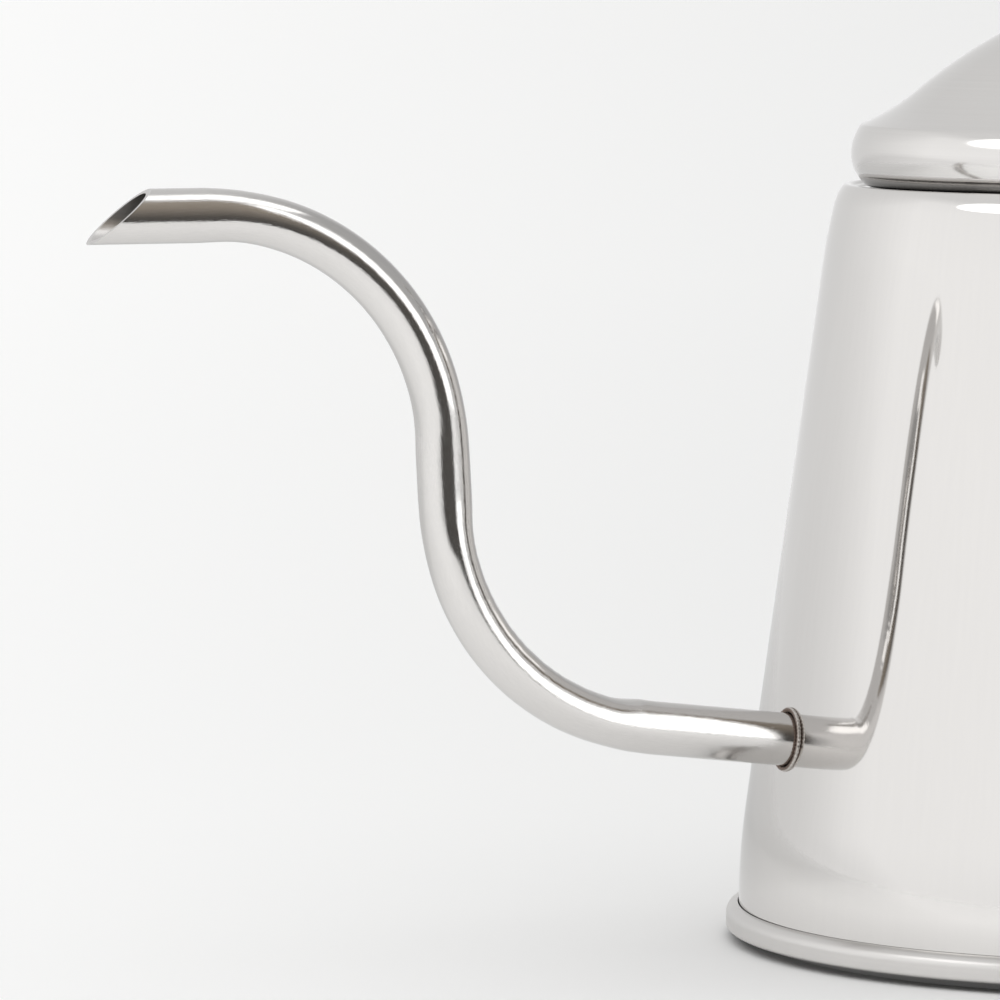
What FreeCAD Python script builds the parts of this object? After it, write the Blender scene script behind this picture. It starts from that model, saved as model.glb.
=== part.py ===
# Gooseneck drip kettle in polished stainless steel, with a rimmed base, bent tube spout and lift-off lid.
# Frame: origin at the centre of the base on the table, +Z up, spout towards -X, handle towards +X.
import FreeCAD, Part
import math
import os
import Sketcher

# Driving sizes, in millimetres and degrees
DRIVING_SIZES = {
    # Sheet metal
    "sheet": 0.8,
    # Body: straight foot, gentle flare, conical wall that curves in to a tight shoulder, sunk seat, mouth
    "body_height": 120.1,
    "foot_radius": 63.0,
    "foot_top": 5.0,
    "flare_radius": 116.0,
    "wall_slope_angle": 7.85,
    "wall_crown_radius": 97.2,
    "wall_crown_angle": 15.07,
    "shoulder_radius": 2.1,
    "seat_dip": 0.6,
    "seat_step_radius": 1.2,
    "seat_width": 7.64,
    "mouth_turn_radius": 1.6,
    "mouth_depth": 7.0,
    # Base pan with a rolled rim
    "pan_foot_inset": 3.0,
    "rim_proud": 2.0,
    "rim_lift": 1.5,
    "rim_edge_radius": 0.7,
    "rim_shoulder_height": 3.0,
    "rim_crown_radius": 2.6,
    "seam_gap": 0.15,
    # Spout tube
    "spout_root_height": 34.2,
    "spout_rise_angle": 7.0,
    "spout_lower_run": 25.2,
    "spout_lower_bend": 36.3,
    "spout_lean_angle": 86.9,
    "spout_middle_run": 11.4,
    "spout_upper_bend": 36.8,
    "spout_tip_run": 19.7,
    "spout_tip_angle": 40.0,
    "tube_diameter": 8.3,
    "tube_wall": 0.7,
    "tube_inset": 2.4,
    "tube_hole_gap": 0.1,
    "bead_radius": 0.6,
    "bead_stand": 0.15,
    # Handle: hollow strap between two pads on the wall
    "handle_drop": 19.0,
    "handle_span": 56.0,
    "handle_reach": 50.3,
    "handle_lean_angle": 8.0,
    "handle_upper_bend": 22.0,
    "handle_lower_bend": 18.0,
    "handle_width": 18.0,
    "handle_depth": 8.0,
    "handle_sheet": 1.0,
    "handle_edge_radius": 3.0,
    "handle_strip_gap": 0.1,
    "pad_width": 22.0,
    "pad_height": 13.0,
    "pad_thickness": 2.0,
    "pad_edge_radius": 2.5,
    # Lid cover: rounded band, straight flank, curled edge, tight corner, cove and dome
    "lid_overhang": 7.57,
    "lid_seat_gap": 0.3,
    "lid_band_radius": 5.66,
    "lid_band_angle": 37.0,
    "lid_flank_length": 1.35,
    "lid_curl_radius": 1.0,
    "lid_hem_inset": 1.2,
    "lid_brow_radius": 8.24,
    "lid_brow_angle": 33.1,
    "lid_corner_radius": 1.0,
    "lid_cove_angle": 22.8,
    "lid_cove_radius": 32.84,
    "lid_dome_angle": 40.23,
    "lid_dome_radius": 82.85,
    "lid_pad_radius": 9.5,
    "vent_diameter": 3.0,
    "vent_offset": 24.0,
    # Lid collar that drops into the mouth
    "collar_gap": 0.4,
    "collar_depth": 9.0,
    "collar_flange_width": 1.8,
    # Knob and its fixing
    "ferrule_radius": 8.5,
    "ferrule_height": 1.4,
    "knob_foot_radius": 6.4,
    "knob_neck_radius": 4.6,
    "knob_neck_height": 5.0,
    "knob_cove_radius": 4.0,
    "knob_head_radius": 10.5,
    "knob_edge_radius": 3.0,
    "knob_crown_radius": 20.0,
    "screw_diameter": 4.0,
    "screw_gap": 0.1,
    "screw_engagement": 9.0,
    "screw_head_radius": 3.7,
    "screw_head_height": 2.2,
    "screw_slot_width": 1.0,
    "screw_slot_depth": 1.1,
    "washer_radius": 6.0,
    "washer_thickness": 1.0,
}

SHEET_NAME = "Sizes"
FULL_TURN = 360.0
RIGHT_ANGLE = 90.0
# How a sketch numbers the points of a curve, and its own origin
START_POINT, END_POINT, CENTRE_POINT = range(1, 4)
ORIGIN_POINT = (-1, START_POINT)
SAME_PLACE = 1e-6
UPRIGHT = FreeCAD.Vector(0, 0, 1)
CROSSWAYS = FreeCAD.Vector(0, 1, 0)


class Size:
    """A length, angle or ratio: its value now, and the expression that keeps it tied to the sheet."""

    def __init__(self, value, text):
        self.value = value
        self.text = text

    def __add__(self, other):
        other = as_size(other)
        return Size(self.value + other.value, f"({self.text} + {other.text})")

    def __sub__(self, other):
        other = as_size(other)
        return Size(self.value - other.value, f"({self.text} - {other.text})")

    def __mul__(self, other):
        other = as_size(other)
        return Size(self.value * other.value, f"({self.text} * {other.text})")

    def __truediv__(self, other):
        other = as_size(other)
        return Size(self.value / other.value, f"({self.text} / {other.text})")

    def __neg__(self):
        return Size(-self.value, f"(0 - {self.text})")


def as_size(number):
    if isinstance(number, Size):
        return number
    return Size(float(number), f"{float(number)}")


def sine(angle):
    return Size(math.sin(math.radians(angle.value)), f"sin({angle.text} * 1 deg)")


def cosine(angle):
    return Size(math.cos(math.radians(angle.value)), f"cos({angle.text} * 1 deg)")


def tangent(angle):
    return Size(math.tan(math.radians(angle.value)), f"tan({angle.text} * 1 deg)")


def root(number):
    return Size(math.sqrt(number.value), f"sqrt({number.text})")


def around(centre, radius, angle):
    """The point of a circle at an angle measured up from the outward direction."""
    return (centre[0] + radius * cosine(angle), centre[1] + radius * sine(angle))


ZERO = as_size(0)
HALF = as_size(0.5)
ONE = as_size(1)
TWICE = as_size(2)
QUARTER_TURN = as_size(RIGHT_ANGLE)

doc = FreeCAD.newDocument("gooseneck_kettle")
sheet = doc.addObject("Spreadsheet::Sheet", SHEET_NAME)
size = {}
for row, (alias, number) in enumerate(DRIVING_SIZES.items(), start=1):
    sheet.set(f"A{row}", alias.replace("_", " "))
    sheet.set(f"B{row}", str(number))
    sheet.setAlias(f"B{row}", alias)
    size[alias] = Size(number, f"{SHEET_NAME}.{alias}")
doc.recompute()


# Building blocks

def new_body(name):
    body = doc.addObject("PartDesign::Body", name)
    body.Label = name
    return body


def plane_of(body, role):
    return next(feature for feature in body.Origin.OriginFeatures if feature.Role == role)


def new_sketch(body, name, role, offset=ZERO):
    sketch = body.newObject("Sketcher::SketchObject", name)
    sketch.AttachmentSupport = [(plane_of(body, role), "")]
    sketch.MapMode = "FlatFace"
    sketch.setExpression("AttachmentOffset.Base.z", offset.text)
    doc.recompute()
    return sketch


def hold(sketch, kind, places, length):
    """Add one dimension to a sketch and tie it to the sheet."""
    index = sketch.addConstraint(Sketcher.Constraint(kind, *places, length.value))
    sketch.setExpression(f"Constraints[{index}]", length.text)


def vector(point):
    return FreeCAD.Vector(point[0].value, point[1].value, 0)


def arc_through(start, end, centre, radius):
    """The short arc from start to end around a centre."""
    middle = (vector(start) - vector(centre)) + (vector(end) - vector(centre))
    middle.normalize()
    return Part.Arc(vector(start), vector(centre) + middle * radius.value, vector(end))


def hold_point(sketch, edge, end, point):
    hold(sketch, "DistanceX", (*ORIGIN_POINT, edge, end), point[0])
    hold(sketch, "DistanceY", (*ORIGIN_POINT, edge, end), point[1])


def draw(sketch, corners, closed=True):
    """Draw an outline from its corners and return the names of its edges.

    A corner is (point,) at the end of a straight edge, or (point, centre, radius) at the end of an arc.
    """
    targets = corners[1:] + corners[:1] if closed else corners[1:]
    edges = []
    for (start, *_), (end, *arc) in zip(corners, targets):
        curve = arc_through(start, end, *arc) if arc else Part.LineSegment(vector(start), vector(end))
        edge = sketch.addGeometry(curve)
        turned = sketch.getPoint(edge, START_POINT).distanceToPoint(vector(start)) > SAME_PLACE
        first, last = (END_POINT, START_POINT) if turned else (START_POINT, END_POINT)
        edges.append((edge, first, last))
        hold_point(sketch, edge, first, start)
        if arc:
            _, radius = arc
            hold(sketch, "Radius", (edge,), radius)
    followers = edges[1:] + edges[:1] if closed else edges[1:]
    for (edge, _, last), (following, first, _) in zip(edges, followers):
        sketch.addConstraint(Sketcher.Constraint("Coincident", edge, last, following, first))
    if not closed:
        edge, _, last = edges[-1]
        hold_point(sketch, edge, last, corners[-1][0])
    doc.recompute()
    return [f"Edge{index}" for index in range(1, len(edges) + 1)]


def turned_piece(name, corners):
    """A piece spun about the kettle's axis from half of its section."""
    body = new_body(name)
    sketch = new_sketch(body, f"{name}_section", "XZ_Plane")
    draw(sketch, corners)
    spin = body.newObject("PartDesign::Revolution", f"{name}_spin")
    spin.Profile = sketch
    spin.ReferenceAxis = (sketch, ["V_Axis"])
    spin.Angle = FULL_TURN
    doc.recompute()
    return body


def swept_piece(name, path, section, offset):
    """A piece of constant section along a path in the kettle's middle plane."""
    body = new_body(name)
    spine = new_sketch(body, f"{name}_path", "XZ_Plane")
    edges = draw(spine, path, closed=False)
    profile = new_sketch(body, f"{name}_section", "YZ_Plane", offset)
    draw(profile, section)
    sweep = body.newObject("PartDesign::AdditivePipe", f"{name}_sweep")
    sweep.Profile = profile
    sweep.Spine = (spine, edges)
    doc.recompute()
    return body


def place(item, point, axis=UPRIGHT, angle=ZERO):
    """Stand an item at a point, turned about an axis, with its place tied to the sheet."""
    x, y, z = point
    item.Placement = FreeCAD.Placement(
        FreeCAD.Vector(x.value, y.value, z.value), FreeCAD.Rotation(axis, angle.value)
    )
    item.setExpression("Placement.Base.x", x.text)
    item.setExpression("Placement.Base.y", y.text)
    item.setExpression("Placement.Base.z", z.text)
    item.setExpression("Placement.Rotation.Angle", f"{angle.text} * 1 deg")


def rod(name, radius, height):
    item = doc.addObject("Part::Cylinder", name)
    item.setExpression("Radius", radius.text)
    item.setExpression("Height", height.text)
    return item


def cut(name, base, tool):
    item = doc.addObject("Part::Cut", name)
    item.Base = base
    item.Tool = tool
    item.Label = name
    doc.recompute()
    return item


pieces = {}

# Wall geometry shared by the body, the spout and the handle
sheet_gauge = size["sheet"]
wall_slope = size["wall_slope_angle"]
flare_centre = (size["foot_radius"] - size["flare_radius"], size["foot_top"])
flare_end = around(flare_centre, size["flare_radius"], wall_slope)


def wall_radius(height):
    """Outer radius of the conical wall at a height."""
    return flare_end[0] - (height - flare_end[1]) * tangent(wall_slope)


wall_crown = size["wall_crown_radius"]
wall_crown_turn = size["wall_crown_angle"]
wall_crown_gap = size["shoulder_radius"] - wall_crown
shoulder_height = size["body_height"] - size["shoulder_radius"]
cone_top = shoulder_height + wall_crown_gap * sine(wall_crown_turn) + wall_crown * sine(wall_slope)
cone_inset = wall_crown_gap * cosine(wall_crown_turn) + wall_crown * cosine(wall_slope)
shoulder_x = wall_radius(cone_top) - cone_inset
shoulder_centre = (shoulder_x, shoulder_height)
wall_crown_centre = around(shoulder_centre, wall_crown_gap, wall_crown_turn)
shoulder_start = around(shoulder_centre, size["shoulder_radius"], wall_crown_turn)
seat_height = size["body_height"] - size["seat_dip"]
mouth_radius = shoulder_x - size["seat_width"]
mouth_turn = size["mouth_turn_radius"]
mouth_centre = (mouth_radius + mouth_turn, seat_height - mouth_turn)
mouth_foot = seat_height - size["mouth_depth"]

# Step from the crest of the shoulder down to the lid's seat: two equal arcs, one each way
step_radius = size["seat_step_radius"]
step_cosine = ONE - size["seat_dip"] * HALF / step_radius
step_sine = root(ONE - step_cosine * step_cosine)
crest_centre = (shoulder_centre[0], size["body_height"] - step_radius)
dip_centre = (shoulder_centre[0] - step_radius * step_sine * TWICE, seat_height + step_radius)
step_middle = (shoulder_centre[0] - step_radius * step_sine, seat_height + size["seat_dip"] * HALF)

# Base pan: flat floor, raised edge with a ledge for the wall, rolled rim around the seam
pan_seat = size["rim_lift"] + sheet_gauge
ledge_start = size["foot_radius"] - sheet_gauge * TWICE
pan_foot_radius = size["foot_radius"] - size["pan_foot_inset"]
rim_radius = size["foot_radius"] + size["rim_proud"]
seam_radius = size["foot_radius"] + size["seam_gap"]
rim_edge = size["rim_edge_radius"]
rim_edge_centre = (rim_radius - rim_edge, size["rim_lift"] + rim_edge)
crown_centre = (rim_radius - size["rim_crown_radius"], size["rim_shoulder_height"])
crown_inset = seam_radius - crown_centre[0]
crown_rise = root(size["rim_crown_radius"] * size["rim_crown_radius"] - crown_inset * crown_inset)
rim_top = crown_centre[1] + crown_rise
pieces["base_pan"] = turned_piece("base_pan", [
    ((ZERO, ZERO),),
    ((pan_foot_radius, ZERO),),
    ((rim_edge_centre[0], size["rim_lift"]),),
    ((rim_radius, rim_edge_centre[1]), rim_edge_centre, rim_edge),
    ((rim_radius, size["rim_shoulder_height"]),),
    ((seam_radius, rim_top), crown_centre, size["rim_crown_radius"]),
    ((seam_radius, pan_seat),),
    ((ledge_start, pan_seat),),
    ((pan_foot_radius - sheet_gauge, sheet_gauge),),
    ((ZERO, sheet_gauge),),
])

# Body shell: one spun sheet from the foot to the mouth, bored for the spout
inner_flare = size["flare_radius"] - sheet_gauge
inner_wall_crown = wall_crown - sheet_gauge
inner_shoulder = size["shoulder_radius"] - sheet_gauge
inner_turn = mouth_turn - sheet_gauge
inner_crest = step_radius - sheet_gauge
inner_dip = step_radius + sheet_gauge
inner_step = (crest_centre[0] - inner_crest * step_sine, crest_centre[1] + inner_crest * step_cosine)
spun_shell = turned_piece("spun_shell", [
    ((size["foot_radius"], pan_seat),),
    ((size["foot_radius"], size["foot_top"]),),
    (flare_end, flare_centre, size["flare_radius"]),
    (around(wall_crown_centre, wall_crown, wall_slope),),
    (shoulder_start, wall_crown_centre, wall_crown),
    ((shoulder_centre[0], size["body_height"]), shoulder_centre, size["shoulder_radius"]),
    (step_middle, crest_centre, step_radius),
    ((dip_centre[0], seat_height), dip_centre, step_radius),
    ((mouth_centre[0], seat_height),),
    ((mouth_radius, mouth_centre[1]), mouth_centre, mouth_turn),
    ((mouth_radius, mouth_foot),),
    ((mouth_radius + sheet_gauge, mouth_foot),),
    ((mouth_radius + sheet_gauge, mouth_centre[1]),),
    ((mouth_centre[0], seat_height - sheet_gauge), mouth_centre, inner_turn),
    ((dip_centre[0], seat_height - sheet_gauge),),
    (inner_step, dip_centre, inner_dip),
    ((shoulder_centre[0], size["body_height"] - sheet_gauge), crest_centre, inner_crest),
    (around(shoulder_centre, inner_shoulder, wall_crown_turn), shoulder_centre, inner_shoulder),
    (around(wall_crown_centre, inner_wall_crown, wall_slope), wall_crown_centre, inner_wall_crown),
    (around(flare_centre, inner_flare, wall_slope),),
    ((size["foot_radius"] - sheet_gauge, size["foot_top"]), flare_centre, inner_flare),
    ((size["foot_radius"] - sheet_gauge, pan_seat),),
])

# Spout: a plain tube through the wall, two opposite bends, a level tip cut aslant
tube_radius = size["tube_diameter"] * HALF
bore_radius = tube_radius - size["tube_wall"]
rise = size["spout_rise_angle"]
lean = size["spout_lean_angle"]
root_x = -wall_radius(size["spout_root_height"])
root_z = size["spout_root_height"]
bend_down_x = root_x - size["spout_lower_run"] * cosine(rise)
bend_down_z = root_z + size["spout_lower_run"] * sine(rise)
lower_centre = (bend_down_x + size["spout_lower_bend"] * sine(rise),
                bend_down_z + size["spout_lower_bend"] * cosine(rise))
middle_start = (lower_centre[0] - size["spout_lower_bend"] * sine(lean),
                lower_centre[1] - size["spout_lower_bend"] * cosine(lean))
middle_end = (middle_start[0] - size["spout_middle_run"] * cosine(lean),
              middle_start[1] + size["spout_middle_run"] * sine(lean))
upper_centre = (middle_end[0] - size["spout_upper_bend"] * sine(lean),
                middle_end[1] - size["spout_upper_bend"] * cosine(lean))
tip_height = upper_centre[1] + size["spout_upper_bend"]
inner_end = (root_x + size["tube_inset"] * cosine(rise), root_z - size["tube_inset"] * sine(rise))
lip_x = upper_centre[0] - size["spout_tip_run"]
spout_path = [
    (inner_end,),
    ((bend_down_x, bend_down_z),),
    (middle_start, lower_centre, size["spout_lower_bend"]),
    (middle_end,),
    ((upper_centre[0], tip_height), upper_centre, size["spout_upper_bend"]),
    ((lip_x, tip_height),),
]


def add_spout():
    body = new_body("spout_tube")
    spine = new_sketch(body, "spout_path", "XZ_Plane")
    edges = draw(spine, spout_path, closed=False)
    ring = body.newObject("Sketcher::SketchObject", "spout_section")
    ring.AttachmentSupport = [(spine, "Vertex1"), (spine, "Edge1")]
    ring.MapMode = "NormalToEdge"
    for radius in (tube_radius, bore_radius):
        circle = ring.addGeometry(Part.Circle(FreeCAD.Vector(), UPRIGHT, radius.value))
        ring.addConstraint(Sketcher.Constraint("Coincident", circle, CENTRE_POINT, *ORIGIN_POINT))
        hold(ring, "Radius", (circle,), radius)
    doc.recompute()
    sweep = body.newObject("PartDesign::AdditivePipe", "spout_sweep")
    sweep.Profile = ring
    sweep.Spine = (spine, edges)
    doc.recompute()
    slant = new_sketch(body, "spout_tip_slant", "XZ_Plane")
    margin = size["tube_diameter"]
    lip_z = tip_height - tube_radius
    top_z = tip_height + margin
    slant_run = (top_z - lip_z) / tangent(size["spout_tip_angle"])
    below = lip_z - margin
    draw(slant, [
        ((lip_x, lip_z),),
        ((lip_x + slant_run, top_z),),
        ((lip_x - margin, top_z),),
        ((lip_x - margin, below),),
        ((lip_x, below),),
    ])
    trim = body.newObject("PartDesign::Pocket", "spout_tip_trim")
    trim.Profile = slant
    trim.Type = "ThroughAll"
    trim.Midplane = True
    doc.recompute()
    return body


pieces["spout_tube"] = add_spout()

# Hole for the tube, square to the spout's first run
hole_turn = rise - QUARTER_TURN
drill_back = size["tube_diameter"]
drill_length = drill_back * TWICE
drill_start = (root_x + drill_back * cosine(rise), ZERO, root_z - drill_back * sine(rise))
tube_drill = rod("tube_drill", tube_radius + size["tube_hole_gap"], drill_length)
place(tube_drill, drill_start, CROSSWAYS, hole_turn)
pieces["body_shell"] = cut("body_shell", spun_shell, tube_drill)

# Bead of weld around the tube where it meets the wall
bead_ring = doc.addObject("Part::Torus", "bead_ring")
bead_ring.setExpression("Radius1", tube_radius.text)
bead_ring.setExpression("Radius2", size["bead_radius"].text)
bead_x = root_x - size["bead_stand"] * cosine(rise)
bead_z = root_z + size["bead_stand"] * sine(rise)
place(bead_ring, (bead_x, ZERO, bead_z), CROSSWAYS, hole_turn)
tube_core = rod("tube_core", tube_radius, drill_length)
place(tube_core, drill_start, CROSSWAYS, hole_turn)
bead_on_tube = cut("bead_on_tube", bead_ring, tube_core)
pieces["spout_joint_bead"] = cut("spout_joint_bead", bead_on_tube, pieces["body_shell"])

# Handle path: out from the upper pad, down a leaning back, and in to the lower pad
half_depth = size["handle_depth"] * HALF
half_width = size["handle_width"] * HALF
handle_top = size["body_height"] - size["handle_drop"]
handle_bottom = handle_top - size["handle_span"]
upper_face = wall_radius(handle_top - size["pad_height"] * HALF) + size["pad_thickness"]
lower_face = wall_radius(handle_bottom - size["pad_height"] * HALF) + size["pad_thickness"]
handle_lean = size["handle_lean_angle"]
upper_turn = handle_lean + QUARTER_TURN
lower_turn = QUARTER_TURN - handle_lean
upper_corner_x = upper_face + size["handle_reach"] - half_depth
lower_corner_x = upper_corner_x - size["handle_span"] * tangent(handle_lean)
upper_cutback = size["handle_upper_bend"] * tangent(upper_turn * HALF)
lower_cutback = size["handle_lower_bend"] * tangent(lower_turn * HALF)
back_x = sine(handle_lean)
back_z = cosine(handle_lean)
upper_bend_start = (upper_corner_x - upper_cutback, handle_top)
upper_bend_end = (upper_corner_x - upper_cutback * back_x, handle_top - upper_cutback * back_z)
upper_bend_centre = (upper_bend_start[0], handle_top - size["handle_upper_bend"])
lower_bend_start = (lower_corner_x + lower_cutback * back_x, handle_bottom + lower_cutback * back_z)
lower_bend_end = (lower_corner_x - lower_cutback, handle_bottom)
lower_bend_centre = (lower_bend_end[0], handle_bottom + size["handle_lower_bend"])
handle_path = [
    ((upper_face, handle_top),),
    (upper_bend_start,),
    (upper_bend_end, upper_bend_centre, size["handle_upper_bend"]),
    (lower_bend_start,),
    (lower_bend_end, lower_bend_centre, size["handle_lower_bend"]),
    ((lower_face, handle_bottom),),
]


def handle_channel():
    """Section of the outer shell: a channel with rounded back edges, open towards the body."""
    edge = size["handle_edge_radius"]
    gauge = size["handle_sheet"]
    inner_edge = edge - gauge
    crown = handle_top + half_depth
    bend_z = crown - edge
    bend_y = half_width - edge
    mouth = handle_top - half_depth
    leg = half_width - gauge
    return [
        ((-half_width, mouth),),
        ((-leg, mouth),),
        ((-leg, bend_z),),
        ((-bend_y, crown - gauge), (-bend_y, bend_z), inner_edge),
        ((bend_y, crown - gauge),),
        ((leg, bend_z), (bend_y, bend_z), inner_edge),
        ((leg, mouth),),
        ((half_width, mouth),),
        ((half_width, bend_z),),
        ((bend_y, crown), (bend_y, bend_z), edge),
        ((-bend_y, crown),),
        ((-half_width, bend_z), (-bend_y, bend_z), edge),
    ]


def handle_closing():
    """Section of the inner shell: a strip that closes the channel between its legs."""
    reach = half_width - size["handle_sheet"] - size["handle_strip_gap"]
    mouth = handle_top - half_depth
    return [
        ((-reach, mouth),),
        ((reach, mouth),),
        ((reach, mouth + size["handle_sheet"]),),
        ((-reach, mouth + size["handle_sheet"]),),
    ]


pieces["handle_outer_shell"] = swept_piece("handle_outer_shell", handle_path, handle_channel(), upper_face)
pieces["handle_inner_shell"] = swept_piece("handle_inner_shell", handle_path, handle_closing(), upper_face)

# Pads that carry the handle: flat outside, fitted to the wall inside
wall_plug = turned_piece("wall_plug", [
    ((ZERO, pan_seat),),
    ((size["foot_radius"], pan_seat),),
    ((size["foot_radius"], size["foot_top"]),),
    (flare_end, flare_centre, size["flare_radius"]),
    (around(wall_crown_centre, wall_crown, wall_slope),),
    (shoulder_start, wall_crown_centre, wall_crown),
    ((ZERO, shoulder_start[1]),),
])


def handle_pad(name, face, height):
    """A rounded pad whose back follows the wall."""
    body = new_body(f"{name}_blank")
    outline = new_sketch(body, f"{name}_outline", "YZ_Plane", face)
    edge = size["pad_edge_radius"]
    y = size["pad_width"] * HALF
    z = size["pad_height"] * HALF
    top = height + z
    bottom = height - z
    draw(outline, [
        ((edge - y, bottom), (edge - y, bottom + edge), edge),
        ((y - edge, bottom),),
        ((y, bottom + edge), (y - edge, bottom + edge), edge),
        ((y, top - edge),),
        ((y - edge, top), (y - edge, top - edge), edge),
        ((edge - y, top),),
        ((-y, top - edge), (edge - y, top - edge), edge),
        ((-y, bottom + edge),),
    ])
    pad = body.newObject("PartDesign::Pad", f"{name}_pad")
    pad.Profile = outline
    pad.Reversed = True
    pad.setExpression("Length", (size["pad_thickness"] + size["pad_height"]).text)
    doc.recompute()
    return cut(name, body, wall_plug)


pieces["handle_upper_pad"] = handle_pad("handle_upper_pad", upper_face, handle_top)
pieces["handle_lower_pad"] = handle_pad("handle_lower_pad", lower_face, handle_bottom)

# Lid cover: hem, curled edge, flank, rounded band, corner, cove and dome, with a flat pad for the knob
lid_radius = mouth_radius + size["lid_overhang"]
lid_hem_radius = mouth_radius + size["lid_hem_inset"]
lid_bottom = seat_height + size["lid_seat_gap"]
band_turn = size["lid_band_angle"]
band_fall = size["lid_band_radius"] * sine(band_turn)
curl = size["lid_curl_radius"]
curl_fall = curl * (ONE - sine(band_turn))
flank_fall = size["lid_flank_length"] * cosine(band_turn)
flank_inset = size["lid_flank_length"] * sine(band_turn)
band_height = lid_bottom + band_fall + flank_fall + curl_fall
band_centre = (lid_radius - size["lid_band_radius"], band_height)
band_foot = around(band_centre, size["lid_band_radius"], -band_turn)
flank_foot = (band_foot[0] - flank_inset, band_foot[1] - flank_fall)
curl_centre = (flank_foot[0] - curl * cosine(band_turn), lid_bottom + curl)
brow_centre = (lid_radius - size["lid_brow_radius"], band_height)
brow_turn = size["lid_brow_angle"]
corner = size["lid_corner_radius"]
corner_centre = around(brow_centre, size["lid_brow_radius"] - corner, brow_turn)
cove_turn = QUARTER_TURN - size["lid_cove_angle"]
dome_turn = QUARTER_TURN - size["lid_dome_angle"]
corner_end = around(corner_centre, corner, cove_turn)
cove_centre = around(corner_end, size["lid_cove_radius"], cove_turn)
cove_end = around(cove_centre, -size["lid_cove_radius"], dome_turn)
dome = size["lid_dome_radius"]
dome_centre = around(cove_end, -dome, dome_turn)
dome_inset = size["lid_pad_radius"] - dome_centre[0]
lid_top = dome_centre[1] + root(dome * dome - dome_inset * dome_inset)
inner_dome = dome - sheet_gauge
inner_lid_top = dome_centre[1] + root(inner_dome * inner_dome - dome_inset * dome_inset)
shank_hole = size["screw_diameter"] * HALF + size["screw_gap"]
inner_cove = size["lid_cove_radius"] + sheet_gauge
inner_corner = corner - sheet_gauge
inner_brow = size["lid_brow_radius"] - sheet_gauge
inner_band = size["lid_band_radius"] - sheet_gauge
inner_curl = curl - sheet_gauge
lid_spun = turned_piece("lid_spun", [
    ((shank_hole, lid_top),),
    ((shank_hole, inner_lid_top),),
    ((size["lid_pad_radius"], inner_lid_top),),
    (around(cove_centre, -inner_cove, dome_turn), dome_centre, inner_dome),
    (around(cove_centre, -inner_cove, cove_turn), cove_centre, inner_cove),
    (around(corner_centre, inner_corner, brow_turn), corner_centre, inner_corner),
    ((lid_radius - sheet_gauge, band_height), brow_centre, inner_brow),
    (around(band_centre, inner_band, -band_turn), band_centre, inner_band),
    (around(curl_centre, inner_curl, -band_turn),),
    ((curl_centre[0], lid_bottom + sheet_gauge), curl_centre, inner_curl),
    ((lid_hem_radius, lid_bottom + sheet_gauge),),
    ((lid_hem_radius, lid_bottom),),
    ((curl_centre[0], lid_bottom),),
    (flank_foot, curl_centre, curl),
    (band_foot,),
    ((lid_radius, band_height), band_centre, size["lid_band_radius"]),
    (around(corner_centre, corner, brow_turn), brow_centre, size["lid_brow_radius"]),
    (corner_end, corner_centre, corner),
    (cove_end, cove_centre, size["lid_cove_radius"]),
    ((size["lid_pad_radius"], lid_top), dome_centre, dome),
])
vent_drill = rod("vent_drill", size["vent_diameter"] * HALF, lid_top - lid_bottom)
place(vent_drill, (size["vent_offset"], ZERO, band_height))
pieces["lid_cover"] = cut("lid_cover", lid_spun, vent_drill)

# Lid collar: flange on the hem, wall down into the mouth
collar_radius = mouth_radius - size["collar_gap"]
flange_radius = lid_hem_radius + size["collar_flange_width"]
collar_bore = collar_radius - sheet_gauge
flange_seat = lid_bottom + sheet_gauge
flange_top = flange_seat + sheet_gauge
collar_foot = lid_bottom - size["collar_depth"]
pieces["lid_collar"] = turned_piece("lid_collar", [
    ((collar_bore, collar_foot),),
    ((collar_radius, collar_foot),),
    ((collar_radius, flange_seat),),
    ((flange_radius, flange_seat),),
    ((flange_radius, flange_top),),
    ((collar_bore, flange_top),),
])

# Knob on a ferrule, held from inside by a screw and washer
knob_base = lid_top + size["ferrule_height"]
ferrule_edge = size["ferrule_height"] * HALF
ferrule_centre = (size["ferrule_radius"] - ferrule_edge, lid_top + ferrule_edge)
pieces["knob_ferrule"] = turned_piece("knob_ferrule", [
    ((shank_hole, lid_top),),
    ((size["ferrule_radius"], lid_top),),
    ((size["ferrule_radius"], ferrule_centre[1]),),
    ((ferrule_centre[0], knob_base), ferrule_centre, ferrule_edge),
    ((shank_hole, knob_base),),
])

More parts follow.
